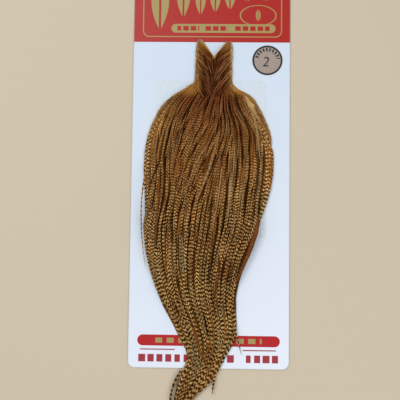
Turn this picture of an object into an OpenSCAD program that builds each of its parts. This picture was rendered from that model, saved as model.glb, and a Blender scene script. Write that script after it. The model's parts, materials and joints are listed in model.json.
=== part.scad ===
// A rooster cape of dry-fly hackle on its display card: a dried neck skin glued to the card by a
// film, with overlapping rows of feathers that each lift at their roots.
// The card lies flat, feather side up. Its back is z = 0 and its header points along +Y.

/* [Card] */
// Width of the card
card_w = 127; // [115:1:170]
// Height of the card
card_l = 330; // [260:1:420]
// Thickness of the card
card_t = 0.8; // [0.4:0.1:2]
// Radius of the card's corners
card_r = 5.5; // [2:0.5:12]
// Diameter of the hang hole in the header
hang_d = 8; // [5:0.5:12]
// Distance from the top edge down to the middle of the hang hole
hang_drop = 12; // [10:1:25]

/* [Mounting film] */
// Width of the film that holds the skin
film_w = 89; // [60:1:100]
// Height of the film
film_l = 127; // [90:1:150]
// Thickness of the film
film_t = 0.2; // [0.1:0.05:0.5]
// Distance from the ear tips down to the film's top edge
film_drop = 34; // [25:1:50]

/* [Grade sticker] */
// Diameter of the round sticker
sticker_d = 25.4; // [15:0.1:30]
// Thickness of the sticker
sticker_t = 0.15; // [0.1:0.05:0.5]
// Distance from the card's right edge in to the sticker's middle
sticker_in = 18.3; // [16:0.1:40]
// Distance from the card's top edge down to the sticker's middle
sticker_drop = 83; // [80:1:120]

/* [Cape] */
// Greatest width of the cape
cape_w = 103; // [80:1:125]
// Length of the cape from the ear tips to the feather tips
cape_l = 308; // [250:1:380]
// Distance from the card's top edge down to the ear tips
cape_drop = 66; // [60:1:90]
// Thickness of the dried skin
skin_t = 0.9; // [0.5:0.1:2]
// Length of the skin from the ear tips
skin_l = 157; // [152:1:175]
// Depth of the notch between the two ears
notch_l = 14; // [8:1:16]
// Diameter of the drying-pin holes in the ears
pin_d = 1.5; // [1:0.1:2.5]

/* [Hackles] */
// Distance from the ear tips down to the crown's root line
crown_drop = 14.5; // [14:0.5:20]
// Distance between the first two root lines
row_pitch = 6.7; // [5:0.1:7]
// How much wider each row's spacing is than the one above it
row_growth = 0.82; // [0.5:0.01:0.9]
// Length of the crown hackles
short_l = 21; // [15:1:26]
// Length of the longest hackles
long_l = 159; // [120:1:190]
// Widest blade of a hackle
blade_w = 7; // [6:0.5:14]
// Greatest distance between two sections of a blade
blade_step = 12; // [8:1:14]
// Thickness of a blade at its root
blade_t = 1.1; // [0.6:0.1:1.4]
// Height of one row above the row under it
layer_h = 1.5; // [1.5:0.1:2.5]
// Gap between a root and the skin
root_gap = 0.25; // [0.1:0.05:0.4]
// How much shorter than its neighbours a hackle may be
tip_scatter = 0.12; // [0:0.01:0.3]

/* [Spade hackles] */
// Distance from the ear tips down to the root line of the side hackles
spade_drop = 65; // [60:1:80]
// Length of the side hackles
spade_l = 112; // [80:1:130]

/* [Edge down] */
// Distance from the ear tips down to the first tuft
down_drop = 41; // [41:1:43]
// Distance between tufts
down_pitch = 5.6; // [5:0.1:5.7]

/* [Hidden] */
$fn = 64;

// Outline of the cape: how far down it is, in percent of its length, then the left edge and the
// right edge, in percent of its width from the card's middle.
edge_line = [
    [0, -12, 16], [11, -13, 16], [13, -20, 20], [15, -30, 31], [19, -41, 39],
    [26, -49, 47], [34, -52, 48], [47, -51, 40], [58, -47, 27], [68, -37, 20],
    [76, -24, 21], [83, -15, 12], [88, -22, 4], [94, -26, -13], [100, -30, -24]
];

ears_y = card_l / 2 - cape_drop;
skin_z = card_t + film_t;
pile_z = skin_z + skin_t + root_gap;
last_row = 12;
row_share = 0.8;        // rows of hackles reach this share of the half width
spade_share = [0.85, 0.98];
neck_share = 0.86;      // ear hackles stay this far inside the neck
skin_share = 0.9;       // the skin's share of the pile's half width near its lower end
skin_round = 16;        // height of the rounding at the skin's lower end
blade_fill = 0.84;      // a blade's share of its lane
root_share = 0.35;      // a blade's width at its root and at its tip, against its widest
tip_share = 0.08;
edge_gap = 0.3;         // gap under the feathers where they lie over the bare card
step_l = 30;            // length over which the pile comes down off the skin
ear_row_drop = 5.5;
ear_hackle_l = 14;
down_tufts = 4;
down_l = 5;

// Slope of the outline at station i: 0 at a turning point, so that it never overshoots.
function secant(i, c) =
    (edge_line[i + 1][c] - edge_line[i][c]) / (edge_line[i + 1][0] - edge_line[i][0]);
function slope(i, c) =
    i == 0 ? secant(0, c) :
    i == len(edge_line) - 1 ? secant(i - 1, c) :
    let (a = secant(i - 1, c), b = secant(i, c)) a * b <= 0 ? 0 : 2 * a * b / (a + b);
function span(p, i = 0) = i >= len(edge_line) - 2 || p < edge_line[i + 1][0] ? i : span(p, i + 1);
function percent(y) = max(0, min(100, 100 * (ears_y - y) / cape_l));
function edge(y, c) =
    let (
        p = percent(y),
        i = span(p),
        gap = edge_line[i + 1][0] - edge_line[i][0],
        t = (p - edge_line[i][0]) / gap
    )
    cape_w / 100 * (
        (2 * pow(t, 3) - 3 * pow(t, 2) + 1) * edge_line[i][c]
        + (pow(t, 3) - 2 * pow(t, 2) + t) * gap * slope(i, c)
        + (3 * pow(t, 2) - 2 * pow(t, 3)) * edge_line[i + 1][c]
        + (pow(t, 3) - pow(t, 2)) * gap * slope(i + 1, c)
    );
// Place across the cape: u is -1 at its left edge and 1 at its right edge.
function across(u, y) = (edge(y, 1) * (1 - u) + edge(y, 2) * (1 + u)) / 2;

// Root line of a row counted down from the crown, and the row that has its roots at height y.
function row_y(row) =
    ears_y - crown_drop - row_pitch * row - row_growth * row * (row - 1) / 2;
function row_at(y) =
    let (first = row_pitch - row_growth / 2, fall = ears_y - crown_drop - y)
    fall < 0 ? fall / first : (sqrt(pow(first, 2) + 2 * row_growth * fall) - first) / row_growth;
function row_l(row) = short_l * pow(long_l / short_l, row / last_row);

// Height of the pile's underside: level on the skin, then down to the card below it.
function smooth(t) = let (s = max(0, min(1, t))) s * s * (3 - 2 * s);
function pile_floor(y) =
    pile_z - (film_t + skin_t + root_gap - edge_gap) * smooth((ears_y - skin_l - y) / step_l);
function row_z(row, y) = pile_floor(y) + layer_h * max(0, min(row_at(y), last_row) - row);

function blade_share(s) = min(1, root_share + 3.2 * s) * (1 - (1 - tip_share) * pow(s, 2.5));
function ring(u, du, y, z, s) =
    let (
        half = du * blade_share(s),
        thick = blade_t * (1 - 0.6 * s)
    )
    [
        [across(u - half, y), y, z + blade_t / 2],
        [across(u, y), y, z + blade_t / 2 + thick / 2],
        [across(u + half, y), y, z + blade_t / 2],
        [across(u, y), y, z + blade_t / 2 - thick / 2]
    ];

// One feather: it follows the cape's flow down from its root, and lies on the rows under it.
// Its sections stand at the same heights as its neighbours', a whole number of steps from the root.
module hackle(row, u, du, root_y, length, step) {
    steps = ceil(length / step - 0.2);
    points = [
        for (i = [0:steps])
            let (s = min(1, i < steps ? i * step / length : 1), y = root_y - length * s)
            each ring(u, du, y, row_z(row, y), s)
    ];
    sides = [
        for (i = [0:steps - 1], k = [0:3])
            let (a = 4 * i + k, b = 4 * i + (k + 1) % 4)
            each [[a, a + 4, b], [b, a + 4, b + 4]]
    ];
    last = 4 * steps;
    ends = [[0, 1, 2], [0, 2, 3], [last, last + 2, last + 1], [last, last + 3, last + 2]];
    polyhedron(points, concat(sides, ends));
}

// Feathers side by side in equal lanes between two shares of the half width.
module lanes(row, from, to, count, root_y, length) {
    lane = (to - from) / count;
    step = length / max(4, ceil(length / blade_step));
    for (i = [0:count - 1])
        hackle(row, from + lane * (i + 0.5), lane / 2 * blade_fill, root_y,
            length * (1 - tip_scatter * ((5 * i + 3 * row) % 4) / 3), step);
}

module hackle_row(row) {
    y = row_y(row);
    middle = y - 0.4 * row_l(row);
    width = row_share * (edge(middle, 2) - edge(middle, 1));
    lanes(row, -row_share, row_share, max(4, round(width / blade_w)), y, row_l(row));
}

module plate(w, l, t, r) {
    linear_extrude(t) {
        square([w - 2 * r, l], center = true);
        square([w, l - 2 * r], center = true);
        for (x = [-1, 1], y = [-1, 1])
            translate([x * (w / 2 - r), y * (l / 2 - r)]) circle(r);
    }
}

module backing_card() {
    color("lightsteelblue") difference() {
        plate(card_w, card_l, card_t, card_r);
        translate([0, card_l / 2 - hang_drop, -1]) cylinder(h = card_t + 2, d = hang_d);
    }
}

module mounting_film() {
    color("aliceblue")
        translate([0, ears_y - film_drop - film_l / 2, card_t]) plate(film_w, film_l, film_t, 2);
}

module grade_sticker() {
    color("tan") translate([card_w / 2 - sticker_in, card_l / 2 - sticker_drop, card_t])
        cylinder(h = sticker_t, d = sticker_d);
}

// Outline of the skin: the bib with its rounded lower end, the neck and the two pointed ears.
function skin_reach(y) =
    let (up = y - (ears_y - skin_l), t = max(0, 1 - up / skin_round))
    (skin_share + (1 - skin_share) * smooth((up - skin_round) / 50)) * sqrt(1 - 0.75 * t * t);
skin_ys = [for (i = [0:24]) ears_y - skin_l + i * (skin_l - notch_l) / 24];
ear_w = 0.3;            // an ear's blunt tip, as a share of the half width

module cape_skin() {
    color("burlywood") difference() {
        translate([0, 0, skin_z]) linear_extrude(skin_t) polygon(concat(
            [for (y = skin_ys) [across(-skin_reach(y), y), y]],
            [[across(-1, ears_y), ears_y - 2], [across(-1 + ear_w / 2, ears_y), ears_y],
             [across(-1 + ear_w, ears_y), ears_y]],
            [[across(0, ears_y), ears_y - notch_l]],
            [[across(1 - ear_w, ears_y), ears_y - 2], [across(1 - ear_w / 2, ears_y), ears_y - 2],
             [across(1, ears_y), ears_y - 4]],
            [for (i = [len(skin_ys) - 1:-1:0]) let (y = skin_ys[i]) [across(skin_reach(y), y), y]]
        ));
        for (side = [-1, 1])
            translate([across(0.8 * side, ears_y), ears_y - 4, skin_z - 1])
                cylinder(h = skin_t + 2, d = pin_d, $fn = 24);
    }
}

module edge_down(side) {
    for (i = [0:down_tufts - 1]) {
        y = ears_y - down_drop - down_pitch * i;
        hackle(row_at(y), side * 0.92, 0.06, y, down_l, down_l / 4);
    }
}
module left_edge_down() color("wheat") edge_down(-1);
module right_edge_down() color("wheat") edge_down(1);

module spades(side) {
    y = ears_y - spade_drop;
    lanes(last_row, side > 0 ? spade_share[0] : -spade_share[1],
        side > 0 ? spade_share[1] : -spade_share[0], 2, y, spade_l);
}
module left_spade_hackles() color("darkgoldenrod") spades(-1);
module right_spade_hackles() color("goldenrod") spades(1);

module ear_hackles() {
    y = ears_y - ear_row_drop;
    color("peru") {
        lanes(row_at(y), -neck_share, -0.6, 2, y, ear_hackle_l);
        lanes(row_at(y), 0.66, neck_share, 2, y, ear_hackle_l);
    }
}
module crown_hackles() color("saddlebrown") hackle_row(0);
module size_26_hackles() color("sienna") hackle_row(1);
module size_24_hackles() color("saddlebrown") hackle_row(2);
module size_22_hackles() color("sienna") hackle_row(3);
module size_20_hackles() color("saddlebrown") hackle_row(4);
module size_18_hackles() color("sienna") hackle_row(5);
module size_16_hackles() color("peru") hackle_row(6);
module size_14_hackles() color("sienna") hackle_row(7);
module size_12_hackles() color("peru") hackle_row(8);
module size_10_hackles() color("darkgoldenrod") hackle_row(9);
module size_8_hackles() color("peru") hackle_row(10);
module size_6_hackles() color("darkgoldenrod") hackle_row(11);
module streamer_hackles() color("olive") hackle_row(12);

backing_card();
mounting_film();
grade_sticker();
cape_skin();
left_edge_down();
right_edge_down();
left_spade_hackles();
right_spade_hackles();
ear_hackles();
crown_hackles();
size_26_hackles();
size_24_hackles();
size_22_hackles();
size_20_hackles();
size_18_hackles();
size_16_hackles();
size_14_hackles();
size_12_hackles();
size_10_hackles();
size_8_hackles();
size_6_hackles();
streamer_hackles();
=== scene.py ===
import json
import math
import random

import bmesh
import bpy
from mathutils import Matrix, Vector, noise
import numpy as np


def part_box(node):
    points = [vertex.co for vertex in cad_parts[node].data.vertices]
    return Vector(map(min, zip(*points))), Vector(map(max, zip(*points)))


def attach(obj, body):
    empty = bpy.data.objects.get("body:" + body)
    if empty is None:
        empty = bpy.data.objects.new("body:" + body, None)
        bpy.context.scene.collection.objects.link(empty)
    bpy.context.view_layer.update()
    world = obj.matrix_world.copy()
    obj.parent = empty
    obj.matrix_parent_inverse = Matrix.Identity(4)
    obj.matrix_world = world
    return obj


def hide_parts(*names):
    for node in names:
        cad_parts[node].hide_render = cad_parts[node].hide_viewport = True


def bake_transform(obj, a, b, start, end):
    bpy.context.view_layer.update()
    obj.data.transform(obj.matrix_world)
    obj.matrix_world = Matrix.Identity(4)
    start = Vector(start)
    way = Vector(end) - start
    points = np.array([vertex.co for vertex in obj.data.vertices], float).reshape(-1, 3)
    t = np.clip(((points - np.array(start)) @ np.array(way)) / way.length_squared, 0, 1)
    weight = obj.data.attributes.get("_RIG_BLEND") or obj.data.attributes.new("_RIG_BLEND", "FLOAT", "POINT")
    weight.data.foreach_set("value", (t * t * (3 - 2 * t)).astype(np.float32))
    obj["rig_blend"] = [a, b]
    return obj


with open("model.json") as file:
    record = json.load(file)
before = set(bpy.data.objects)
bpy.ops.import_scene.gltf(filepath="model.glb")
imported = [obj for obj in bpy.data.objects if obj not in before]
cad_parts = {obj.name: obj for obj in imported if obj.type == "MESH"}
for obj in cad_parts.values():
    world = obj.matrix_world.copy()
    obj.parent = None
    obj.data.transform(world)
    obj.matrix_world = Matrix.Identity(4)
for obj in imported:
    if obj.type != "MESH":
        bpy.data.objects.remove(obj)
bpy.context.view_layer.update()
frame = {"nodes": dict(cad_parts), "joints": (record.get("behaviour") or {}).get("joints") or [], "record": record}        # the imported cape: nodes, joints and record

mm = 0.001
print("frame loaded,", len(frame["nodes"]), "nodes")

# camera: straight above the card, a little below its middle

camera = {
    "place": (7.2 * mm, -77 * mm, 600 * mm),
    "turn": (4.31, 1.40, 0.716),      # degrees about x, y, z
    "lens": 67.57,
}


def makeCamera():
    data = bpy.data.cameras.new("camera")
    data.lens = camera["lens"]
    data.clip_start = 0.01
    holder = bpy.data.objects.new("camera", data)
    holder.location = camera["place"]
    holder.rotation_euler = [math.radians(angle) for angle in camera["turn"]]
    bpy.context.collection.objects.link(holder)
    bpy.context.scene.camera = holder


makeCamera()
print("camera placed")

# colours and shader maths


def tint(code):
    # a web colour as the linear colour that the shaders use
    parts = [int(code[i:i + 2], 16) / 255 for i in (1, 3, 5)]
    return [c / 12.92 if c <= 0.04045 else ((c + 0.055) / 1.055) ** 2.4 for c in parts] + [1.0]


class Wire:
    # one output of a material's nodes; arithmetic on wires adds Math nodes
    def __init__(self, tree, socket=None):
        self.tree = tree
        self.socket = socket

    def node(self, kind, settings=None, inputs=None, output=0):
        made = self.tree.nodes.new(kind)
        for name, value in (settings or {}).items():
            if name == "stops":
                stops = made.color_ramp.elements
                while len(stops) < len(value):
                    stops.new(0.5)
                for stop, (place, code) in zip(stops, value):
                    stop.position = place
                    stop.color = tint(code)
            else:
                setattr(made, name, value)
        for name, value in (inputs or {}).items():
            self.feed(made.inputs[name], value)
        return Wire(self.tree, made.outputs[output])

    def feed(self, socket, value):
        # a socket takes a wire, a number, or a web colour
        if isinstance(value, Wire):
            self.tree.links.new(value.socket, socket)
        else:
            socket.default_value = tint(value) if isinstance(value, str) else value

    def math(self, operation, *values, clamp=False):
        settings = {"operation": operation, "use_clamp": clamp}
        return self.node("ShaderNodeMath", settings, dict(enumerate(values)))

    def __add__(self, other):
        return self.math("ADD", self, other)

    def __sub__(self, other):
        return self.math("SUBTRACT", self, other)

    def __rsub__(self, other):
        return self.math("SUBTRACT", other, self)

    def __mul__(self, other):
        return self.math("MULTIPLY", self, other)

    def __truediv__(self, other):
        return self.math("DIVIDE", self, other)

    __radd__ = __add__
    __rmul__ = __mul__

    def most(self, other):
        return self.math("MAXIMUM", self, other)

    def least(self, other):
        return self.math("MINIMUM", self, other)

    def size(self):
        return self.math("ABSOLUTE", self)

    def wave(self):
        # 0 to 1 and back, once for each whole number
        return self.math("SINE", self * math.tau) * 0.5 + 0.5

    def within(self, edge, soft):
        # 1 well under the edge, 0 well past it
        return self.math("ADD", (edge - self) / soft, 0.5, clamp=True)

    def past(self, edge, soft):
        return self.math("ADD", (self - edge) / soft, 0.5, clamp=True)

    def cell(self, pitch):
        # place within a repeat, from -0.5 to 0.5
        return self.math("FRACT", self / pitch) - 0.5

    def blend(self, low, high):
        # this mask mixes two colours
        return self.node("ShaderNodeMix", {"data_type": "RGBA"}, {0: self, 6: low, 7: high}, 2)

    def shading(self, colour):
        # a colour made darker or brighter by this value
        grey = self.node("ShaderNodeCombineColor", None, {0: self, 1: self, 2: self})
        settings = {"data_type": "RGBA", "blend_type": "MULTIPLY"}
        return self.node("ShaderNodeMix", settings, {0: 1.0, 6: colour, 7: grey}, 2)

    def ramp(self, stops):
        return self.node("ShaderNodeValToRGB", {"stops": stops}, {0: self})

    def attribute(self, name, output="Fac"):
        return self.node("ShaderNodeAttribute", {"attribute_name": name}, None, output)

    def split(self, kind="ShaderNodeSeparateXYZ"):
        parts = self.node(kind, None, {0: self}).socket.node.outputs
        return [Wire(self.tree, part) for part in parts]

    def noise(self, vector, scale, detail=2.0, roughness=0.5):
        inputs = {"Vector": vector, "Scale": scale, "Detail": detail, "Roughness": roughness}
        return self.node("ShaderNodeTexNoise", None, inputs, "Fac")

    def stretched(self, vector, x, y, z):
        return self.node("ShaderNodeVectorMath", {"operation": "MULTIPLY"},
                         {0: vector, 1: (x, y, z)})

    def place(self):
        # object coordinates in millimetres: x, y, z, and the vector
        vector = self.node("ShaderNodeTexCoord", None, None, "Object")
        vector = self.stretched(vector, 1 / mm, 1 / mm, 1 / mm)
        return vector.split() + [vector]

    def bump(self, height, distance, strength=1.0):
        inputs = {"Height": height, "Distance": distance, "Strength": strength}
        return self.node("ShaderNodeBump", None, inputs)


def newFinish(name, paint, **constants):
    # a material whose sockets hold constants or what paint() returns for them
    material = bpy.data.materials.new(name)
    material.use_nodes = True
    tree = material.node_tree
    shader = tree.nodes["Principled BSDF"]
    sockets = {key.replace("_", " "): value for key, value in constants.items()}
    w = Wire(tree)
    sockets.update(paint(w))
    for socket, value in sockets.items():
        w.feed(shader.inputs[socket], value)
    return material


def meshOf(name, bm, rounded=False):
    mesh = bpy.data.meshes.new(name)
    bm.to_mesh(mesh)
    bm.free()
    if rounded:
        mesh.shade_smooth()
    return mesh


def addPiece(name, mesh, finish, nodes=(), body="card", bendFrom=None):
    # a mesh becomes a piece that rides on a body, or bends out of the skin into that body
    mesh.materials.append(finish)
    piece = bpy.data.objects.new(name, mesh)
    bpy.context.collection.objects.link(piece)
    if nodes:
        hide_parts(*nodes)
    if bendFrom is None:
        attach(piece, body)
    else:
        end = bendFrom - Vector((0, hackle["bend"], 0))
        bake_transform(piece, "card", body, start=bendFrom, end=end)


# the printed card, its film and its round sticker; places and sizes in millimetres

cardLook = {
    "outline": (0.0, 0.0, 63.5, 165.0, 5.5),     # a box: its middle, half sizes and corner
    "paper": "#d4e0ec",
    "paintedLight": "#eef1f8",                # painted light: the paper drawn brighter towards its lower right corner
    "board": "#c9c4b8",               # the edges and the back
    "wear": "#a39c90",                # along the rim
    "red": "#b0241b",
    "gold": "#a9955a",
    "footRed": "#b61f24",
    "footType": "#a3333c",
    "headerFoot": 96.7,               # height of the header's lower edge
    "frame": (0.3, 130.6, 56.2, 29.3, 5.0),
    "line": 0.4,                      # half width of the frame's line
    "oval": (37.5, 119.1, 14.5, 8.4),
    "leaves": [   # middle, foot, top and half width of each leaf on the header
        (-42.5, 106.5, 156, 7.2), (-23.5, 117, 156, 5.6), (-9.5, 119, 147, 4.2),
        (2.5, 121.5, 146, 4.2), (14.5, 123.5, 148, 4.4), (28.5, 130, 156, 5.0),
        (43.5, 130.5, 156, 5.4), (37.5, 114, 124.5, 2.0)],
    "pill": (9.3, 108.2, 42.35, 3.65, 3.65),
    "pillBlocks": (0.0, 6.05, 0.37, 1.9, 37.5),  # shift, pitch, half share, half height, reach
    "pillGaps": (-8.0, 15.5),         # where blocks are left out
    "pillGap": 2.4,
    "footPill": (0.0, -143.4, 56.3, 4.3, 4.3),
    "footBlocks": (2.0, 9.2, 0.31, 2.0, 42.0),
    "footLines": [(-40.15, -150.5, 13.75, 0.45, 0.1), (40.2, -150.5, 13.0, 0.45, 0.1)],
    "band": (0.0, -157.25, 55.9, 2.95, 0.1),
    "bandPitch": 7.0,
    "bandBlock": (0.27, 0.14),        # least half share of a block, and how much is added
    "bandGap": (24.5, 3.0),
}


def roundBox(x, y, box):
    # distance outside a box with round corners
    midX, midY, halfX, halfY, corner = box
    dx = (x - midX).size() - (halfX - corner)
    dy = (y - midY).size() - (halfY - corner)
    outX, outY = dx.most(0.0), dy.most(0.0)
    far = outX.math("SQRT", outX * outX + outY * outY)
    return far + dx.most(dy).least(0.0) - corner


def blockRow(x, y, box, row):
    # plain blocks along the middle of a box
    shift, pitch, share, half, reach = row
    blocks = (x - shift).cell(pitch).size().within(share, 0.04)
    blocks = blocks * (y - box[1]).size().within(half, 0.3)
    return blocks * (x - box[0]).size().within(reach, 0.3)


def paintCard(w):
    x, y, z, vector = w.place()
    look = cardLook
    front = z.past(0.7, 0.05)
    gold = roundBox(x, y, look["frame"]).size().within(look["line"], 0.25)
    gold = gold.most(roundBox(x, y, look["pill"]).within(0.0, 0.25))
    midX, midY, halfX, halfY = look["oval"]
    ovalX, ovalY = (x - midX) / halfX, (y - midY) / halfY
    ring = w.math("SQRT", ovalX * ovalX + ovalY * ovalY) - 1.0
    gold = gold.most(ring.size().within(0.035, 0.03))
    for middle, foot, top, half in look["leaves"]:
        up = (y - (foot + top) / 2) / ((top - foot) / 2)
        edge = (1.0 - up * up) * half
        leaf = ((x - middle).size() - edge).within(0.0, 0.3)
        vein = (x - middle).size().past(half * 0.13, 0.2)
        gold = gold.most(leaf * vein)
    blocks = blockRow(x, y, look["pill"], look["pillBlocks"])
    for place in look["pillGaps"]:
        blocks = blocks * (x - place).size().past(look["pillGap"], 0.4)
    gold = gold * (1.0 - blocks) * y.past(look["headerFoot"] + 1, 0.2)
    header = y.past(look["headerFoot"], 0.2)
    pill = roundBox(x, y, look["footPill"]).within(0.0, 0.3)
    gold = gold.most(pill * blockRow(x, y, look["footPill"], look["footBlocks"]))
    dark = roundBox(x, y, look["footLines"][0]).least(roundBox(x, y, look["footLines"][1]))
    dark = dark.within(0.0, 0.25)
    lot = x.math("FLOOR", x / look["bandPitch"])
    chance = w.node("ShaderNodeTexWhiteNoise", {"noise_dimensions": "1D"}, {"W": lot})
    width = chance * look["bandBlock"][1] + look["bandBlock"][0]
    band = roundBox(x, y, look["band"]).within(0.0, 0.3)
    band = band * (width - x.cell(look["bandPitch"]).size()).past(0.0, 0.04)
    dark = dark.most(band * (x - look["bandGap"][0]).size().past(look["bandGap"][1], 0.3))
    cloud = w.noise(vector, 0.016, 2.0)
    fibre = w.noise(vector, 1.4, 3.0)
    # painted light: the paper turns brighter towards its lower right, patchy with the cloud noise
    paintedLight = (x * 0.5 - y + (cloud - 0.5) * 90).past(60.0, 300.0)
    paper = (paintedLight + fibre * 0.06).ramp([(0.0, look["paper"]), (1.0, look["paintedLight"])])
    colour = header.blend(paper, look["red"])
    colour = pill.blend(colour, look["footRed"])
    colour = dark.blend(colour, look["footType"])
    colour = gold.blend(colour, look["gold"])
    colour = front.blend(look["board"], colour)
    rim = roundBox(x, y, look["outline"]).past(-0.5, 0.5)
    colour = (rim * 0.25).blend(colour, look["wear"])
    printed = header.most(pill) * front
    return {"Base Color": colour, "Roughness": 0.42 + fibre * 0.12 - printed * 0.12,
            "Normal": w.bump(fibre + printed * 0.6, 0.03 * mm, 0.5)}


sticker = {
    "middle": (45.2, 82.0),
    "ring": (10.7, 12.2),             # radii of the dark ring, then of the ticks inside it
    "ticks": (7.5, 10.2),
    "step": 17.0,                     # degrees from tick to tick
    "arc": 82.0,                      # degrees from the top to the last tick on each side
    "paper": ("#978678", "#b09e90"),
    "rim": "#d8dade",
    "print": "#161c27",
}


def paintSticker(w):
    x, y, z, vector = w.place()
    dx, dy = x - sticker["middle"][0], y - sticker["middle"][1]
    reach = w.math("SQRT", dx * dx + dy * dy)
    turn = w.math("ARCTAN2", dy, dx) * math.degrees(1)
    ring = reach.past(sticker["ring"][0], 0.25) * reach.within(sticker["ring"][1], 0.25)
    tick = turn.cell(sticker["step"]).size().within(0.26, 0.06)
    tick = tick * reach.past(sticker["ticks"][0], 0.3) * reach.within(sticker["ticks"][1], 0.3)
    tick = tick * (turn - 90.0).size().within(sticker["arc"], 2.0)
    speck = w.noise(vector, 0.9, 3.0)
    paper = speck.ramp([(0.3, sticker["paper"][0]), (0.7, sticker["paper"][1])])
    colour = reach.past(sticker["ring"][1], 0.2).blend(paper, sticker["rim"])
    colour = ring.most(tick).blend(colour, sticker["print"])
    return {"Base Color": colour, "Roughness": 0.36 + speck * 0.12,
            "Normal": w.bump(speck, 0.02 * mm, 0.4)}


def refinish(node, finish):
    for holder in frame["nodes"][node].material_slots:
        holder.material = finish


refinish("backing_card", newFinish("cardStock", paintCard, Specular_IOR_Level=0.25,
                                   Coat_Weight=0.05, Coat_Roughness=0.25))
refinish("grade_sticker", newFinish("stickerPaper", paintSticker, Specular_IOR_Level=0.4))

film = {
    "thick": 0.12 * mm,
    "inset": 0.02 * mm,               # from the top of the CAD film down to its face
    "ripple": 0.02 * mm,
    "outline": (0.0, 1.5, 44.5, 63.5, 0.6),
    "tint": "#f6f8ee",
    "clear": 0.07,                    # alpha of the plain film; streaks and rim are added
    "streaks": 0.16,
    # painted highlight: the film is drawn more opaque along its rim, a lighter line at its edges
    "rim": 0.1,
}


def paintFilm(w):
    x, y, z, vector = w.place()
    streak = w.noise(w.stretched(vector, 1.1, 0.02, 1.0), 1.0, 2.0).past(0.56, 0.16)
    side = x.size().past(33.0, 12.0)
    # painted highlight: a lighter band along the film's edges
    rim = roundBox(x, y, film["outline"]).past(-0.9, 0.6)
    swell = w.noise(w.stretched(vector, 1.0, 0.15, 1.0), 0.3, 1.0)
    return {"Alpha": film["clear"] + streak * side * film["streaks"] + rim * film["rim"],
            "Roughness": 0.12 + w.noise(vector, 0.2, 2.0) * 0.14,
            "Normal": w.bump(swell, 0.1 * mm, 0.3)}


def makeFilm():
    # a clear sheet stuck on the card, just off its face, with faint ripples
    low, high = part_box("mounting_film")
    middle, half = (low + high) / 2, (high - low) / 2
    bm = bmesh.new()
    made = bmesh.ops.create_grid(bm, x_segments=24, y_segments=32, size=1.0)
    for vert in made["verts"]:
        u, v = vert.co.x, vert.co.y
        corner = film["outline"][4] * mm if abs(u) > 0.99 and abs(v) > 0.99 else 0
        ripple = film["ripple"] * noise.noise(Vector((u * 9, v * 2, 2.0)))
        vert.co = (middle.x + u * (half.x - corner), middle.y + v * (half.y - corner),
                   high.z - film["inset"] + ripple)
    bmesh.ops.solidify(bm, geom=bm.faces[:], thickness=film["thick"])
    finish = newFinish("clearFilm", paintFilm, Base_Color=film["tint"], Coat_Weight=0.1,
                       Coat_Roughness=0.15)
    addPiece("clearFilm", meshOf("clearFilm", bm), finish, ["mounting_film"])


makeFilm()
print("card, film and sticker finished")

# the cape's flow: the same outline and root lines as its CAD solids

cape = {
    "edges": [   # percent of the length down from the ears; left and right, percent of the width
        (0, -12, 16), (11, -13, 16), (13, -20, 20), (15, -30, 31), (19, -41, 39),
        (26, -49, 47), (34, -52, 48), (47, -51, 40), (58, -47, 27), (68, -37, 20),
        (76, -24, 21), (83, -15, 12), (88, -22, 4), (94, -26, -13), (100, -30, -24)],
    "width": 103 * mm,
    "layer": 1.5 * mm,                # rise of one row over the row under it
    "rootsSunk": 0.3 * mm,            # roots start this far under their hinge lines
    "offCard": 0.8 * mm,              # the pile's underside past the skin, above the card
    "stepDown": 30 * mm,              # the pile comes down off the skin over this length
}
rowNames = ["crown", "size_26", "size_24", "size_22", "size_20", "size_18", "size_16",
            "size_14", "size_12", "size_10", "size_8", "size_6", "streamer"]
hinges = {joint["child"]: Vector(joint["pos_m"]) for joint in frame["joints"]}
rootLines = [hinges[name].y for name in rowNames]
skinLow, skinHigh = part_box("cape_skin")
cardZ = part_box("backing_card")[1].z
earsY = skinHigh.y
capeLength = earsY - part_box("streamer_hackles")[0].y
pileZ = hinges["crown"].z - cape["rootsSunk"]
lastRow = len(rowNames) - 1


def secant(i, side):
    a, b = cape["edges"][i], cape["edges"][i + 1]
    return (b[side] - a[side]) / (b[0] - a[0])


def edgeSlope(i, side):
    if i == 0 or i == len(cape["edges"]) - 1:
        return secant(max(0, i - 1), side)
    a, b = secant(i - 1, side), secant(i, side)
    return 0 if a * b <= 0 else 2 * a * b / (a + b)


def edgeAt(y, side):
    percent = min(100, max(0, 100 * (earsY - y) / capeLength))
    i = max(k for k in range(len(cape["edges"]) - 1) if cape["edges"][k][0] <= percent)
    a, b = cape["edges"][i], cape["edges"][i + 1]
    gap = b[0] - a[0]
    t = (percent - a[0]) / gap
    share = ((2 * t ** 3 - 3 * t ** 2 + 1) * a[side]
             + (t ** 3 - 2 * t ** 2 + t) * gap * edgeSlope(i, side)
             + (3 * t ** 2 - 2 * t ** 3) * b[side]
             + (t ** 3 - t ** 2) * gap * edgeSlope(i + 1, side))
    return share / 100 * cape["width"]


def across(u, y):
    return (edgeAt(y, 1) * (1 - u) + edgeAt(y, 2) * (1 + u)) / 2


def halfWidth(y):
    return (edgeAt(y, 2) - edgeAt(y, 1)) / 2


def rowAt(y):
    # which row has its roots at this height; it goes on evenly past both ends
    for i in range(lastRow):
        if y >= rootLines[i + 1] or i == lastRow - 1:
            return i + (rootLines[i] - y) / (rootLines[i] - rootLines[i + 1])


def smooth(t):
    s = min(1.0, max(0.0, t))
    return s * s * (3 - 2 * s)


def pileFloor(y):
    drop = pileZ - cardZ - cape["offCard"]
    return pileZ - drop * smooth((skinLow.y - y) / cape["stepDown"])


rightShoulder = [   # height in mm, then how far out the rows and the spade hackles reach there
    (62, 0.96, 0.78), (55, 0.86, 0.77), (49, 0.76, 0.74), (41, 0.75, 0.74), (31, 0.83, 0.83),
    (21, 0.87, 0.91), (6, 0.87, 1.0)]


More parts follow.
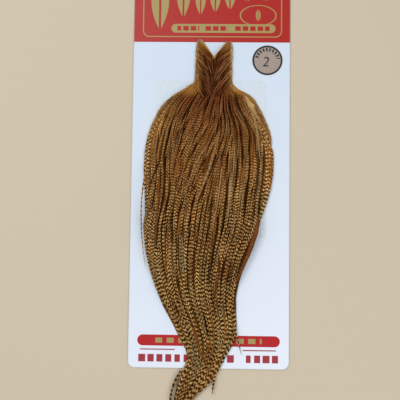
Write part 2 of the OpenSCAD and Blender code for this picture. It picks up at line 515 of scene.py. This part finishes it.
def shoulderReach(y, kind):
    # reach read off the table; the skin is bare outside it
    if y >= rightShoulder[0][0] * mm:
        return rightShoulder[0][kind]
    for high, low in zip(rightShoulder, rightShoulder[1:]):
        if y >= low[0] * mm:
            t = (high[0] - y / mm) / (high[0] - low[0])
            return high[kind] + (low[kind] - high[kind]) * smooth(t)
    return rightShoulder[-1][kind]


def laneLimit(side, y):
    # how far out the hackle rows reach: inside the spade hackles, and lower down to the edge
    if side > 0:
        limit = shoulderReach(y, 1)
    else:
        # a little less on the shoulder, and right to the edge where the neck begins
        limit = 0.87 - 0.04 * smooth((y - 24 * mm) / (16 * mm))
        limit += 0.13 * smooth((y - 54 * mm) / (8 * mm))
    return limit + (1 - limit) * smooth((-20 * mm - y) / (40 * mm))


# feathers

hackle = {
    "stationEvery": 6.5 * mm,
    "stations": (7, 20),
    "barbLean": 1.25,       # how far a barb's end lies towards the tip, in half widths
    "ridge": 0.55,          # height of the quill over the vane's edges, in half widths
    "rootShare": 0.45,      # width at the root and at the tip, of the full width
    "tipShare": 0.06,
    "ragged": 0.22,         # how much a vane's edge varies
    "bend": 12 * mm,        # a row turns smoothly out of the skin over this length
}


def layFeather(bm, layers, feather, rng):
    # one feather: a grid whose rows follow its barbs and whose middle column is its quill
    low, high = hackle["stations"]
    stations = max(low, min(high, round(feather["length"] / hackle["stationEvery"])))
    points = [feather["path"](i / stations) for i in range(stations + 1)]
    made = bmesh.ops.create_grid(bm, x_segments=4, y_segments=stations, size=0.5)
    notch = [[1 - rng.random() * hackle["ragged"] for i in range(stations + 1)]
             for side in (0, 1)]
    alongLayer, acrossLayer, barLayer, toneLayer = layers
    for vert in made["verts"]:
        a = 2 * vert.co.x
        i = round((vert.co.y + 0.5) * stations)
        s = i / stations
        forward = (points[min(stations, i + 1)] - points[max(0, i - 1)]).normalized()
        side = forward.cross(Vector((0, 0, 1))).normalized()
        roll = feather["roll"] + feather["twist"] * math.sin(3 * s + feather["phase"])
        up = side.cross(forward)
        side = side * math.cos(roll) + up * math.sin(roll)
        share = min(1, hackle["rootShare"] + 3 * s) * (1 - (1 - hackle["tipShare"]) * s ** 3.2)
        half = feather["half"] * share
        reach = half * (notch[a > 0][i] if abs(a) > 0.9 else 1)
        drop = half * hackle["ridge"] * abs(a) ** 1.5
        lean = half * hackle["barbLean"] * abs(a)
        vert.co = points[i] + side * (a * reach) + forward * lean - up * drop
        vert[alongLayer] = s * feather["length"] / mm
        vert[acrossLayer] = a
        stagger = feather.get("stagger", 0) * (a > 0)
        vert[barLayer] = s * feather["length"] / feather["bar"] + feather["phase"] + stagger
        vert[toneLayer] = feather["tone"]


def newLayers(bm):
    floats = bm.verts.layers.float
    return (floats.new("along"), floats.new("across"), floats.new("bar"),
            bm.verts.layers.float_color.new("tone"))


rows = {
    "halfWidths": (0.4, 1.9),        # of a hackle in mm, on the crown and on the streamers
    "barPitches": (1.5, 3.5),        # of its bars in mm
    "lengths": (21, 159),            # of the crown's hackles and of the streamers
    "columns": 25,                   # across the body, the same in each row
    "columnShift": 0.33,             # how unevenly they lie, of their spacing
    "columnSeed": 3,
    "perColumn": 3.3,
    "columnSpread": 0.18,            # of the hackles about their column, of the spacing
    "tones": (0.76, 1.26),           # brightness, from the darkest to the lightest
    "underEvery": 2.1,               # between the hackles that lie underneath, in mm
    # painted shade: the hackles underneath are drawn dark, for the shade between the columns
    "underShadeTones": (0.2, 0.46),
    "lifts": (0.5, 1.4),             # of the roots over the row's own, in mm
    "underLift": 0.15,
    "arch": 0.5 * mm,
    "wander": 0.13,                  # how far neighbouring lanes drift sideways
    "sway": 0.022,
    "sweep": (0.27, -0.05, 0.42),    # the middle swings left: how far, and its place and width
    "sweepRows": (5.5, 4),           # the middle row of the swing, and how many rows either side
    "seed": 11,
}
neckRows = {
    "count": 3,                      # the rows at the top that lie close and converge
    "half": 0.3 * mm,
    "hackles": 250,
    "lengths": (12, 18),
    "lifts": (0.2, 1.2),
    "converge": 0.9,
    # painted shade and highlight: the close-lying neck hackles get dark and bright tones for the shade and
    # light between them, as well as their own tone
    "tones": (0.24, 0.4, 0.7, 1.0, 1.8),
}


def columnPlaces():
    rng = random.Random(rows["columnSeed"])
    shift, count = rows["columnShift"], rows["columns"]
    return [-1 + 2 * (k + 0.5 + rng.uniform(-shift, shift)) / count for k in range(count)]


columns = columnPlaces()


def between(pair, t):
    return pair[0] + (pair[1] - pair[0]) * t


def hacklePath(u, rootY, length, lift, converge, spare):
    row = rowAt(rootY)
    far, middle, wide = rows["sweep"]
    sweepRow, reach = rows["sweepRows"]
    lean = rows["wander"] * noise.noise(Vector((u * 2.4, row * 0.4, 3.7)))
    lean -= far * math.exp(-((u - middle) / wide) ** 2) * smooth(1 - abs(row - sweepRow) / reach)
    lean += spare

    def path(s):
        y = rootY - length * s
        sway = rows["sway"] * noise.noise(Vector((u * 6, y * 22, 1.3)))
        lane = u * (1 - converge * s) + lean * s * s + sway * s
        lane = max(-1.0, min(1.0, lane))
        x = across(lane * laneLimit(lane, y), y)
        rise = max(0.0, min(rowAt(y), lastRow) - row)
        arch = rows["arch"] * math.sin(math.pi * s)
        return Vector((x, y, pileFloor(y) + cape["layer"] * rise + lift + arch))
    return path


def toneOf(rng, bright, u, y):
    # brightness, rust share, how plain it is, and how grey
    gold = 0.5 * smooth((abs(u) - 0.7) / 0.2) * smooth((y - 5 * mm) / (30 * mm))
    plain = rng.uniform(0.4, 1.0) if rng.random() < 0.08 and abs(u) < 0.85 else 0.0
    grey = rng.uniform(0.2, 0.7) if rng.random() < 0.03 else 0.0
    bright = bright * rng.uniform(0.82, 1.12) + gold * 0.3
    return (bright, rng.random() * (1 - gold), plain, grey)


def rowLength(t):
    # how long a row's hackles are, from the crown (0) to the streamers (1), in mm
    short, long = rows["lengths"]
    return short * (long / short) ** t


def makeRow(index, finish):
    name = rowNames[index]
    rng = random.Random(rows["seed"] + index)
    t = index / lastRow
    full = rowLength(t) * mm
    rootY = rootLines[index]
    pitch = rootLines[max(0, index - 1)] - rootLines[max(1, index)]
    wide = 2 * max(halfWidth(rootY), halfWidth(rootY - 0.7 * full), halfWidth(rootY - 0.4 * full))
    half = between(rows["halfWidths"], t ** 0.85) * mm
    neck = index < neckRows["count"]
    converge = neckRows["converge"] if neck else 0.0
    if neck:
        half = neckRows["half"]
    bm = bmesh.new()
    layers = newLayers(bm)
    lanes = []
    under = round(wide / (rows["underEvery"] * mm))
    for k in range(under):
        u = -1 + 2 * (k + rng.random()) / under
        lanes.append((u, rng.uniform(*rows["underShadeTones"]), rows["underLift"]))
    if neck:
        for k in range(neckRows["hackles"]):
            u = -1 + 2 * (k + rng.random()) / neckRows["hackles"]
            lanes.append((u, rng.choice(neckRows["tones"]), rng.uniform(*neckRows["lifts"])))
    else:
        for middle in columns:
            for k in range(int(rows["perColumn"] + rng.random())):
                u = middle + rng.gauss(0, rows["columnSpread"]) / rows["columns"]
                lanes.append((u, rng.uniform(*rows["tones"]), rng.uniform(*rows["lifts"])))
    for u, tone, lift in lanes:
        y = rootY - pitch * 0.8 * rng.random() - 0.6 * mm
        length = (full - (rootY - y)) * rng.uniform(0.7, 1.0)
        if neck:
            length = rng.uniform(*neckRows["lengths"]) * mm
        feather = {
            "phase": rng.random() * math.tau,
            "length": length,
            "half": half * rng.uniform(0.85, 1.15),
            "bar": between(rows["barPitches"], t ** 1.35) * rng.uniform(0.92, 1.08) * mm,
            "roll": rng.gauss(0, 0.16),
            "twist": rng.uniform(-0.2, 0.2),
            "stagger": rng.uniform(-0.25, 0.25),
            "tone": toneOf(rng, tone, u, y),
            "path": hacklePath(u, y, length, lift * mm, converge, rng.gauss(0, 0.02)),
        }
        layFeather(bm, layers, feather, rng)
    for spare in strays:
        if spare[0] == name:
            layStray(bm, layers, spare, rng)
    addPiece(name + "Hackles", meshOf(name + "Hackles", bm, rounded=True), finish,
             [name + "_hackles"], name, hinges[name])


strays = [
    # single feathers that stand out: row, points, half width in mm, then brightness, rust share,
    # how plain and how grey
    ("size_8", [(38.5, -44), (35.5, -60), (29, -79), (20.5, -99)], 2.3, 0.85, 1.0, 0.85, 0.0),
    ("size_10", [(-40, -14), (-41, -27), (-41.8, -50), (-43, -72)], 1.2, 0.95, 1.0, 0.9, 0.0),
    ("size_10", [(8, -72), (7.5, -86), (6.3, -97), (4.5, -110)], 1.7, 0.55, 1.0, 1.0, 0.0),
    ("size_8", [(-4.2, -118), (-3, -127), (-1.2, -135), (0.4, -143)], 0.8, 0.1, 0.0, 1.0, 0.0),
    ("size_6", [(-12, -132), (-9.6, -142), (-6.5, -151), (-3.4, -158.5)], 1.4, 1.0, 1.0, 0.9, 0.0),
    ("size_6", [(3.5, -139), (1, -147), (-1.5, -153), (-3.4, -158.5)], 1.2, 1.0, 0.6, 0.7, 0.0),
    ("streamer", [(-21, -166), (-25.5, -174), (-28.6, -184), (-29.2, -192), (-26.5, -199)],
     1.1, 0.8, 0.2, 0.0, 0.0),
    ("streamer", [(8, -150), (6.2, -164), (4.6, -175), (3.4, -185)], 1.3, 1.0, 0.6, 0.0, 0.0),
    ("size_6", [(15, -112), (19.5, -127), (22.5, -140), (26, -154)], 0.8, 1.0, 0.7, 0.1, 0.0),
    ("size_12", [(-50.5, -4), (-53.8, -30), (-53.6, -58), (-50.4, -86)], 0.7, 1.1, 0.2, 0.0, 0.3),
    ("size_20", [(31, 43), (35.5, 30), (38, 14), (39.5, -2)], 1.1, 0.95, 0.0, 0.6, 0.9),
    ("size_14", [(3.6, 6), (-2.4, -12), (-10.4, -33), (-14.4, -44)], 1.2, 1.0, 0.3, 0.3, 0.5),
    ("size_16", [(-1, 14), (-10.4, -1), (-15.7, -15.6), (-18.5, -24)], 1.0, 1.0, 0.3, 0.3, 0.5),
    ("size_14", [(19.4, 12), (18.8, 2), (18.2, -10), (16.2, -27)], 0.45, 1.35, 0.0, 0.6, 1.0),
    ("size_12", [(9.2, -6), (8.2, -16), (6.2, -34), (1.5, -59)], 0.55, 1.5, 0.0, 0.6, 1.0),
    ("size_16", [(4.4, 5), (3.2, -1), (1.2, -8), (-1.6, -16)], 0.7, 0.08, 0.0, 1.0, 0.0),
    ("size_16", [(-2.6, 4), (-4.6, -1), (-7.4, -6), (-10.6, -13)], 0.6, 0.08, 0.0, 1.0, 0.0),
    ("size_14", [(38.4, 12), (38, -2), (37, -16), (36, -32)], 1.0, 0.3, 0.0, 0.9, 0.3),
    ("size_16", [(-39, 2), (-42, -6), (-45.6, -15), (-48.4, -25)], 0.8, 0.3, 1.0, 1.0, 0.0),
    ("size_18", [(-20.5, 30), (-22.6, 20), (-25.4, 8), (-28, -4)], 0.6, 0.12, 1.0, 1.0, 0.0),
    ("size_18", [(22, 28), (24.2, 16), (25.4, 4), (25.8, -8)], 0.6, 0.12, 1.0, 1.0, 0.0),
]


def pileTop(y):
    # the row whose hackles are uppermost at this height
    places = [rootLines[i] - 0.85 * rowLength(i / lastRow) * mm for i in range(lastRow + 1)]
    for i in range(lastRow):
        if y >= places[i + 1]:
            return max(0.0, i + 0.3 + (places[i] - y) / (places[i] - places[i + 1]))
    return lastRow


def layStray(bm, layers, stray, rng):
    knots = [Vector(point) * mm for point in stray[1]]
    half, *tone = stray[2:]

    def path(s):
        # a smooth curve through the knots, on top of the pile; its root is tucked in
        k = min(len(knots) - 2, int(s * (len(knots) - 1)))
        t = s * (len(knots) - 1) - k
        a, b = knots[k], knots[k + 1]
        before = knots[max(0, k - 1)]
        after = knots[min(len(knots) - 1, k + 2)]
        p = (2 * a + (b - before) * t + (2 * before - 5 * a + 4 * b - after) * t * t
             + (3 * a - before - 3 * b + after) * t ** 3) * 0.5
        rise = max(0.0, min(rowAt(p.y), lastRow) - pileTop(p.y))
        lift = (0.1 + 1.5 * smooth(4 * s)) * mm
        return Vector((p.x, p.y, pileFloor(p.y) + cape["layer"] * rise + lift))
    length = sum((b - a).length for a, b in zip(knots, knots[1:]))
    feather = {
        "length": length, "half": half * mm, "bar": 3.4 * mm, "roll": 0.0, "twist": 0.1,
        "phase": rng.random() * math.tau, "tone": tone, "path": path}
    layFeather(bm, layers, feather, rng)


plumage = {
    # from the ears to the tail: dark bars, the ground between, and the light spots
    "dark": [(0.0, "#340b01"), (0.18, "#2e0a01"), (0.36, "#341201"), (0.7, "#2c1501"),
             (1.0, "#2a1601")],
    "ground": [(0.0, "#5c2409"), (0.18, "#521a04"), (0.34, "#9c5a08"), (0.7, "#8e580a"),
               (1.0, "#7c4c0e")],
    "light": [(0.0, "#b58456"), (0.14, "#b87e58"), (0.3, "#fcdf9c"), (0.7, "#fadf98"),
              (1.0, "#f0cf8c")],
    # ground and light on rusty hackles, in pale patches, and along the golden edge
    "rusty": ("#7e3a0e", "#e0a84c"),
    "pale": ("#6e5426", "#dcd2a4"),
    "edge": ("#a9732f", "#dcb878"),
    "plain": [(0.3, "#5c2c10"), (0.7, "#884c1e")],
    "dusty": "#aa9c72",
    "quill": "#a8743a",
    "sheen": "#8e6240",               # on the brightest hackles of the neck
}


def paintHackle(w):
    x, y, z, vector = w.place()
    down = (earsY / mm - y) / (capeLength / mm)
    along = w.attribute("along")
    out = w.attribute("across").size()
    bar = w.attribute("bar")
    bright, rust, plain = w.attribute("tone", "Color").split("ShaderNodeSeparateColor")[:3]
    grey = w.attribute("tone", "Alpha")
    ragged = w.noise(vector, 0.45, 2.0)
    patch = w.noise(vector, 0.8, 1.0)
    # bars show more towards the tail and the sides
    barred = (down + x.size() * 0.004).past(0.42, 0.4)
    stripe = (bar + out * 0.4 + (ragged - 0.5) * 0.9).wave()
    dark, ground, light = [down.ramp(plumage[key]) for key in ("dark", "ground", "light")]
    # the golden edge: both sides of the neck, the ears, and the shoulders
    rim = (x - 2.0).size().past(11.5, 8.0) * y.past(54.0, 8.0)
    rim = rim.most(y.past(90.0, 9.0) * 0.8)
    rim = rim.most(x.size().past(30.0, 18.0) * y.past(16.0, 30.0) * 0.7)
    # long patches that are warmer or paler, over many hackles
    zone = w.noise(w.stretched(vector, 0.13, 0.022, 0.3), 1.0, 2.0)
    warm = (rust * rust * 0.8).most(zone.past(0.56, 0.14) * 0.75)
    pale = zone.within(0.4, 0.12) * barred
    ground = warm.blend(ground, plumage["rusty"][0])
    light = (warm * 0.7).blend(light, plumage["rusty"][1])
    ground = (pale * 0.5).blend(ground, plumage["pale"][0])
    light = (pale * 0.5).blend(light, plumage["pale"][1])
    ground = rim.blend(ground, plumage["edge"][0])
    light = rim.blend(light, plumage["edge"][1])
    # the hackles underneath, dark with painted shade, are almost plain
    lit = bright.past(0.48, 0.3).most(down.within(0.16, 0.1))
    spots = stripe.past(0.7, 0.18) * (out - 0.5).size().within(0.29, 0.18)
    spots = spots * (1.0 - plain) * (0.35 + 0.65 * patch.past(0.42, 0.2))
    spots = spots * lit * (0.15 + 0.45 * down.past(0.16, 0.08) + 0.4 * barred)
    bars = stripe.within(0.37, 0.2) * (1.0 - plain) * (0.25 + 0.75 * barred) * (0.4 + 0.6 * lit)
    colour = bars.blend(ground, dark)
    colour = (spots * 0.95).blend(colour, light)
    vane = w.noise(vector, 0.3, 3.0).ramp(plumage["plain"])
    colour = (plain * 0.7).blend(colour, vane)
    colour = (grey * 0.5).blend(colour, plumage["dusty"])
    quill = out.within(0.1, 0.08)
    colour = (quill * 0.35).blend(colour, plumage["quill"])
    colour = (bright.past(1.5, 0.5) * 0.6).blend(colour, plumage["sheen"])
    barbs = ((along - out * 1.2) / 0.5).wave()
    # painted shade: the vanes are darker at their edges and the hackles underneath are dim, for the shade
    # between the columns; the golden edge is also brighter
    shade = bright * (1.0 - out.past(0.8, 0.3) * 0.45) * (0.9 + barbs * 0.18) * (1.0 + rim * 0.3)
    return {"Base Color": shade.shading(colour), "Roughness": 0.36 + ragged * 0.2,
            "Normal": w.bump(barbs * 0.6 + quill, 0.12 * mm, 0.5)}


slots = {part["node"]: part["material_slot"] for part in frame["record"]["subparts"]}
finishes = {}
for slotName in ("neck_hackle", "cape_hackle", "tail_hackle", "spade_hackle"):
    camel = slotName.split("_")[0] + "Hackle"
    finishes[slotName] = newFinish(camel, paintHackle, Specular_IOR_Level=0.03)
for index, name in enumerate(rowNames):
    slotName = slots[name + "_hackles"]
    makeRow(index, finishes[slotName])
print("hackle rows laid")

# spade hackles down both sides

spades = {
    "count": 24,
    "length": 112 * mm,
    "half": 2.0 * mm,
    "bar": 3.0 * mm,
    "inner": 0.8,                    # how far out they begin; they end at the rim
    "leftRim": (0.965, 0.095),       # its reach low down, and how much less it is higher up
    "seed": 70,
}


def spadeRim(side, y):
    if side > 0:
        return shoulderReach(y, 2)
    reach, less = spades["leftRim"]
    return reach - less * smooth((y - 18 * mm) / (20 * mm))


def spadePath(side, lane, rootY, length, lift, phase):
    def path(s):
        y = rootY - length * s
        rim = spadeRim(side, y)
        inner = min(spades["inner"], rim - 0.1)
        u = side * (inner + (rim - inner) * lane)
        u = u + 0.008 * math.sin(6 * s + phase)
        return Vector((across(u, y), y, pileFloor(y) + (0.6 + 1.6 * (1 - lane)) * mm + lift))
    return path


def makeSpades(side, name, body, node):
    rng = random.Random(spades["seed"] + side)
    rootY = hinges[body].y
    bm = bmesh.new()
    layers = newLayers(bm)
    for k in range(spades["count"]):
        lane = (k + 0.5) / spades["count"]
        y = rootY + rng.uniform(-12, 18) * mm
        length = (spades["length"] - (rootY - y)) * rng.uniform(0.55, 1.0)
        phase = rng.random() * math.tau
        feather = {
            "length": length,
            "half": spades["half"] * rng.uniform(0.85, 1.1),
            "bar": spades["bar"],
            "roll": rng.gauss(0, 0.15),
            "twist": rng.uniform(-0.15, 0.15),
            "phase": phase,
            "tone": toneOf(rng, rng.uniform(0.7, 1.1), 0.9 * side, y),
            "path": spadePath(side, lane, y, length, rng.uniform(0, 0.5) * mm, phase),
        }
        layFeather(bm, layers, feather, rng)
    addPiece(name, meshOf(name, bm, rounded=True), finishes[slots[node]], [node],
             body, hinges[body])


makeSpades(-1, "leftSpadeHackles", "left_spades", "left_spade_hackles")
makeSpades(1, "rightSpadeHackles", "right_spades", "right_spade_hackles")
print("spade hackles laid")

# the dried skin, with its pin holes, and the short hackles on its ears

skin = {
    "notch": 14 * mm,
    "tops": [(-1.0, -2), (-0.85, 0), (-0.7, 0), (0.0, -14), (0.7, -2), (0.85, -2), (1.0, -4)],
    "thick": 0.7 * mm,
    "inset": 0.15 * mm,                    # its face under the top of the CAD skin
    "ragged": 0.5 * mm,
    "wrinkle": 0.12 * mm,
    "share": 0.5,                          # of the cape's width, at its foot
    "foot": 16,                            # height of the rounded foot, in mm
    "widens": 50,                          # and of the stretch above it that widens to the edge
    "pins": [(-0.8, -4), (0.8, -4)],       # u, and mm down from the ears
    "pinRadius": 0.75 * mm,
    "colours": [(0.3, "#a8742a"), (0.5, "#c4944c"), (0.7, "#d6b474")],
    "earTip": "#a8826c",
}


def skinTop(u):
    tops = skin["tops"]
    for (a, low), (b, high) in zip(tops, tops[1:]):
        if u <= b:
            return earsY + (low + (high - low) * (u - a) / (b - a)) * mm


def skinReach(y):
    up = (y - skinLow.y) / mm
    t = max(0.0, 1 - up / skin["foot"])
    share = skin["share"] + (1 - skin["share"]) * smooth((up - skin["foot"]) / skin["widens"])
    return share * math.sqrt(max(0.0, 1 - 0.75 * t * t))


def paintSkin(w):
    x, y, z, vector = w.place()
    cloud = w.noise(vector, 0.12, 3.0)
    grain = w.noise(w.stretched(vector, 1.0, 0.45, 1.0), 1.6, 3.0)
    colour = (cloud * 0.7 + grain * 0.3).ramp(skin["colours"])
    colour = y.past(96.8, 1.6).blend(colour, skin["earTip"])
    return {"Base Color": colour, "Roughness": 0.42 + grain * 0.2,
            "Normal": w.bump(grain + cloud, 0.25 * mm, 0.6)}


def pinHoles():
    bm = bmesh.new()
    for u, drop in skin["pins"]:
        made = bmesh.ops.create_cone(bm, cap_ends=True, segments=20, depth=0.01,
                                     radius1=skin["pinRadius"], radius2=skin["pinRadius"])
        bmesh.ops.translate(bm, verts=made["verts"],
                            vec=(across(u, earsY), earsY + drop * mm, 0))
    return meshOf("pinHoles", bm)


def cutOut(mesh, holes):
    # the mesh with the other one's solids cut out of it
    blank, cutter = (bpy.data.objects.new(part.name, part) for part in (mesh, holes))
    bpy.context.collection.objects.link(blank)
    bpy.context.collection.objects.link(cutter)
    cut = blank.modifiers.new("cut", "BOOLEAN")
    cut.operation = "DIFFERENCE"
    cut.object = cutter
    bpy.context.view_layer.update()
    graph = bpy.context.evaluated_depsgraph_get()
    result = bpy.data.meshes.new_from_object(blank.evaluated_get(graph))
    bpy.data.objects.remove(blank)
    bpy.data.objects.remove(cutter)
    result.materials.clear()
    return result


def makeSkin():
    bm = bmesh.new()
    made = bmesh.ops.create_grid(bm, x_segments=40, y_segments=70, size=0.5)
    for vert in made["verts"]:
        u, v = 2 * vert.co.x, 0.5 - vert.co.y
        top = skinTop(u)
        y = top + (skinLow.y - top) * v
        ragged = skin["ragged"] * noise.noise(Vector((u * 3, y * 400, 0))) * abs(u) ** 8
        wrinkle = skin["wrinkle"] * noise.noise(Vector((u * 6, y * 120, 5)))
        x = across(u * skinReach(y), y) + ragged
        vert.co = (x, y, skinHigh.z - skin["inset"] + wrinkle)
    bmesh.ops.recalc_face_normals(bm, faces=bm.faces)
    if bm.faces[0].normal.z < 0:
        bmesh.ops.reverse_faces(bm, faces=bm.faces)
    bmesh.ops.solidify(bm, geom=bm.faces[:], thickness=skin["thick"])
    mesh = cutOut(meshOf("skinBlank", bm), pinHoles())
    mesh.shade_smooth()
    finish = newFinish("driedSkin", paintSkin, Specular_IOR_Level=0.4, Subsurface_Weight=0.1)
    addPiece("capeSkin", mesh, finish, ["cape_skin"])


makeSkin()

ears = {
    "hackles": 420,
    "over": 4 * mm,                  # from the hinge line up to the first roots
    "deep": 13 * mm,                 # and from there down to the last
    "lengths": (6, 11),
    "halves": (0.22, 0.34),
    "bar": 1.7 * mm,
    "lift": 0.4 * mm,
    "seed": 5,
}


def earPath(u, rootY, length):
    row = rowAt(rootY)

    def path(s):
        # down the ear and in towards the middle, but never across the notch
        y = rootY - length * s
        notch = 0.7 * max(0.0, (y - earsY + skin["notch"]) / (12 * mm))
        lane = math.copysign(max(abs(u * (1 - 0.8 * s)), notch + 0.1), u)
        rise = max(0.0, rowAt(y) - row)
        return Vector((across(lane, y), y, pileZ + cape["layer"] * rise + ears["lift"]))
    return path


def makeEars():
    rng = random.Random(ears["seed"])
    bm = bmesh.new()
    layers = newLayers(bm)
    top = hinges["ears"].y + ears["over"]
    for k in range(ears["hackles"]):
        side = rng.choice((-1, 1))
        depth = rng.random()
        y = top - ears["deep"] * depth
        u = side * rng.uniform(min(0.8, max(0.1, 1.0 - 1.1 * depth)), 0.94)
        length = rng.uniform(*ears["lengths"]) * mm
        tones = neckRows["tones"][2:4] if depth < 0.45 else neckRows["tones"]
        feather = {
            "length": length,
            "half": rng.uniform(*ears["halves"]) * mm,
            "bar": ears["bar"],
            "roll": rng.gauss(0, 0.2),
            "twist": 0.1,
            "phase": rng.random() * math.tau,
            "tone": toneOf(rng, rng.choice(tones), 0, y),
            "path": earPath(u, y, length),
        }
        layFeather(bm, layers, feather, rng)
    addPiece("earHackles", meshOf("earHackles", bm, rounded=True), finishes["neck_hackle"],
             ["ear_hackles"], "ears", hinges["ears"])


makeEars()
print("skin and ear hackles made")

# down: short soft barbs along the skin's edge

down = {
    "lengths": (2.0, 5.5),
    "half": 0.16 * mm,
    "droop": 0.35,                   # how far a barb bends towards the tail, of its length
    "colours": [(0.0, "#5e2c0a"), (0.3, "#8a5018"), (0.65, "#b48a48"), (1.0, "#d2b47c")],
    "earTip": "#b49a86",
}


def paintDown(w):
    x, y, z, vector = w.place()
    mix = w.attribute("tone", "Color").split("ShaderNodeSeparateColor")[0]
    colour = y.past(93.5, 3.0).blend(mix.ramp(down["colours"]), down["earTip"])
    return {"Base Color": colour, "Roughness": 0.5 + mix * 0.1}


def layBarb(bm, toneLayer, start, away, length, bright):
    made = bmesh.ops.create_grid(bm, x_segments=1, y_segments=4, size=0.5)
    side = Vector((-away.y, away.x, 0)).normalized() * down["half"]
    for vert in made["verts"]:
        s = vert.co.y + 0.5
        bend = away * (length * s) + Vector((0, -down["droop"] * length * s * s, 0))
        vert.co = start + bend + side * (2 * vert.co.x * (1 - 0.8 * s))
        vert[toneLayer] = (bright, 0, 0, 1)


def makeDown(name, nodes, low, high, sides, count, seed, z, depth=0.1, inward=0.0):
    # depth is how far in the barbs start, of the half width; inward turns those towards the middle
    rng = random.Random(seed)
    bm = bmesh.new()
    toneLayer = bm.verts.layers.float_color.new("tone")
    for k in range(count):
        side = rng.choice(sides)
        y = rng.uniform(low, high)
        inner = rng.random() ** 2
        u = side * (1 - depth * inner)
        x = across(u, y)
        slope = (across(side, y - mm) - across(side, y)) / mm
        tangent = Vector((slope, -1, 0)).normalized()
        outward = Vector((-tangent.y, tangent.x, 0)) * side
        away = (tangent + outward * (rng.uniform(-0.1, 0.5) - inward * inner)).normalized()
        length = rng.uniform(*down["lengths"]) * mm
        start = Vector((x, y, z + rng.uniform(0, 0.7) * mm)) - outward * 0.8 * mm
        layBarb(bm, toneLayer, start, away, length, rng.random() * (1 - 0.8 * inner))
    addPiece(name, meshOf(name, bm, rounded=True), downFinish, nodes)


downFinish = newFinish("edgeDown", paintDown, Specular_IOR_Level=0.3)
makeDown("leftEdgeDown", ["left_edge_down"], low=8 * mm, high=60 * mm, sides=[-1],
         count=420, seed=21, z=1.9 * mm)
makeDown("rightEdgeDown", ["right_edge_down"], low=0, high=60 * mm, sides=[1],
         count=480, seed=22, z=1.9 * mm)
makeDown("neckDown", [], low=56 * mm, high=97 * mm, sides=[-1, 1],
         count=1700, seed=23, z=2.0 * mm, depth=0.3, inward=1.2)
print("down laid")

# the sticker's number

number = {
    "text": "2",
    "size": 11.5 * mm,
    "raised": 0.02 * mm,
    "shift": (-1.0, -1.6),           # from the sticker's middle, in mm
    "slant": 0.18,
    "ink": "#1d1f24",
}


def paintInk(w):
    return {"Roughness": 0.4 + w.noise(w.place()[3], 2.0) * 0.2}


def makeNumber():
    text = bpy.data.curves.new("stickerNumber", "FONT")
    text.body = number["text"]
    text.size = number["size"]
    text.align_x = "CENTER"
    text.align_y = "CENTER"
    text.extrude = number["raised"]
    holder = bpy.data.objects.new("numberCurve", text)
    bpy.context.collection.objects.link(holder)
    bpy.context.view_layer.update()
    graph = bpy.context.evaluated_depsgraph_get()
    mesh = bpy.data.meshes.new_from_object(holder.evaluated_get(graph))
    bpy.data.objects.remove(holder)
    mesh.materials.clear()
    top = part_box("grade_sticker")[1].z
    midX, midY = [sticker["middle"][i] + number["shift"][i] for i in (0, 1)]
    for vert in mesh.vertices:
        x, y, z = vert.co
        vert.co = (x + y * number["slant"] + midX * mm, y + midY * mm, z + top)
    finish = newFinish("numberInk", paintInk, Base_Color=number["ink"])
    addPiece("stickerNumber", mesh, finish)


makeNumber()
print("number set")

# floor and light

studio = {
    "floor": "#d2c2a8",
    "floorSize": 3.0,
    "floorDrop": 0.3 * mm,           # under the card, so that the two never share a face
    "sky": "#eef5ff",
    "world": 0.49,
    # name, place, size and power
    "lamps": [("key", (-0.5, 0.4, 1.1), 0.7, 7.0), ("fill", (0.6, -0.7, 1.0), 0.8, 5.5)],
}


def makeStudio():
    bm = bmesh.new()
    bmesh.ops.create_grid(bm, x_segments=1, y_segments=1, size=studio["floorSize"])
    bmesh.ops.translate(bm, verts=bm.verts, vec=(0, 0, -studio["floorDrop"]))
    mesh = meshOf("floor", bm)
    mesh.materials.append(newFinish("floorPaint", lambda w: {}, Base_Color=studio["floor"],
                                    Roughness=0.8))
    floor = bpy.data.objects.new("floor", mesh)
    bpy.context.collection.objects.link(floor)
    world = bpy.data.worlds.new("studio")
    world.use_nodes = True
    world.node_tree.nodes["Background"].inputs[0].default_value = tint(studio["sky"])
    world.node_tree.nodes["Background"].inputs[1].default_value = studio["world"]
    bpy.context.scene.world = world
    for name, place, size, power in studio["lamps"]:
        lamp = bpy.data.lights.new(name, "AREA")
        lamp.energy = power
        lamp.size = size
        holder = bpy.data.objects.new(name, lamp)
        holder.location = place
        holder.rotation_euler = (-Vector(place)).to_track_quat("-Z", "Y").to_euler()
        bpy.context.collection.objects.link(holder)
    bpy.context.scene.view_settings.view_transform = "Standard"


makeStudio()
print("studio lit")
